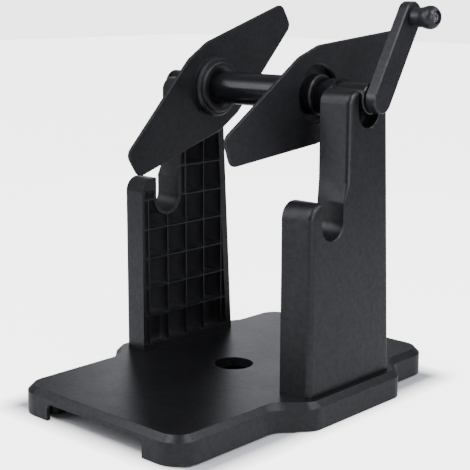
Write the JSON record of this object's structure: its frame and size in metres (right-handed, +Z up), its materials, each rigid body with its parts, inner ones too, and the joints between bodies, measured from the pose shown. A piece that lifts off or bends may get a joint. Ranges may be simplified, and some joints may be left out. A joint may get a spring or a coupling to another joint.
{
  "type": "label roll holder",
  "caption": "Bench stand for label rolls: bevelled base tray, two slotted uprights, and a cranked shaft with two sliding paddles whose hubs hold the roll.",
  "frame": {"origin": "on the surface the stand rests on, under the axis of the hole in the middle of the base tray", "axes": "+X along the shaft to the crank, +Y from the front to the rear, +Z up"},
  "size_m": [0.23, 0.2846, 0.2953],
  "materials": {
    "moulded_black": "fine satin moulded black",
    "paddle_black": "satin moulded black",
    "tube_black": "gloss black coating",
    "bush_black": "smooth black",
    "crank_black": "satin black",
    "screw_steel": "zinc plated",
    "pad_rubber": "matt"
  },
  "bodies": {
    "root": {"base_tray": "moulded_black", "front_left_foot_pad": "pad_rubber", "front_right_foot_pad": "pad_rubber", "rear_left_foot_pad": "pad_rubber", "rear_right_foot_pad": "pad_rubber", "left_upright": "moulded_black", "right_upright": "moulded_black", "left_upright_screws": "screw_steel", "right_upright_screws": "screw_steel"},
    "bushes": {"left_bush": "bush_black", "right_bush": "bush_black"},
    "shaft": {"shaft_tube": "tube_black", "left_journal": "bush_black", "right_journal": "bush_black", "left_end_cap": "bush_black", "end_cap_screw": "screw_steel", "crank_arm": "crank_black", "crank_grub_screw": "screw_steel", "knob_screw": "screw_steel"},
    "knob": {"crank_knob": "crank_black"},
    "left_grip": {"left_grip_ring": "pad_rubber"},
    "left_paddle": {"left_paddle": "paddle_black"},
    "right_grip": {"right_grip_ring": "pad_rubber"},
    "right_paddle": {"right_paddle": "paddle_black"}
  },
  "joints": [
    {"name": "shaft_lift", "type": "slide", "parent": "root", "child": "bushes", "axis": [0, 0, 1], "range_m": [0, 0.03]},
    {"name": "crank_turn", "type": "hinge", "parent": "bushes", "child": "shaft", "pos_m": [0, 0.0376, 0.2281], "axis": [1, 0, 0], "continuous": true},
    {"name": "knob_turn", "type": "hinge", "parent": "shaft", "child": "knob", "pos_m": [0.117, 0.07108, 0.28416], "axis": [1, 0, 0], "continuous": true},
    {"name": "left_paddle_slide", "type": "slide", "parent": "shaft", "child": "left_grip", "axis": [1, 0, 0], "range_m": [-0.0052, 0.041]},
    {"name": "left_paddle_turn", "type": "hinge", "parent": "left_grip", "child": "left_paddle", "pos_m": [-0.0551, 0.0376, 0.2281], "axis": [1, 0, 0], "continuous": true},
    {"name": "right_paddle_slide", "type": "slide", "parent": "shaft", "child": "right_grip", "axis": [1, 0, 0], "range_m": [-0.041, 0.015]},
    {"name": "right_paddle_turn", "type": "hinge", "parent": "right_grip", "child": "right_paddle", "pos_m": [0.0453, 0.0376, 0.2281], "axis": [1, 0, 0], "continuous": true}
  ]
}
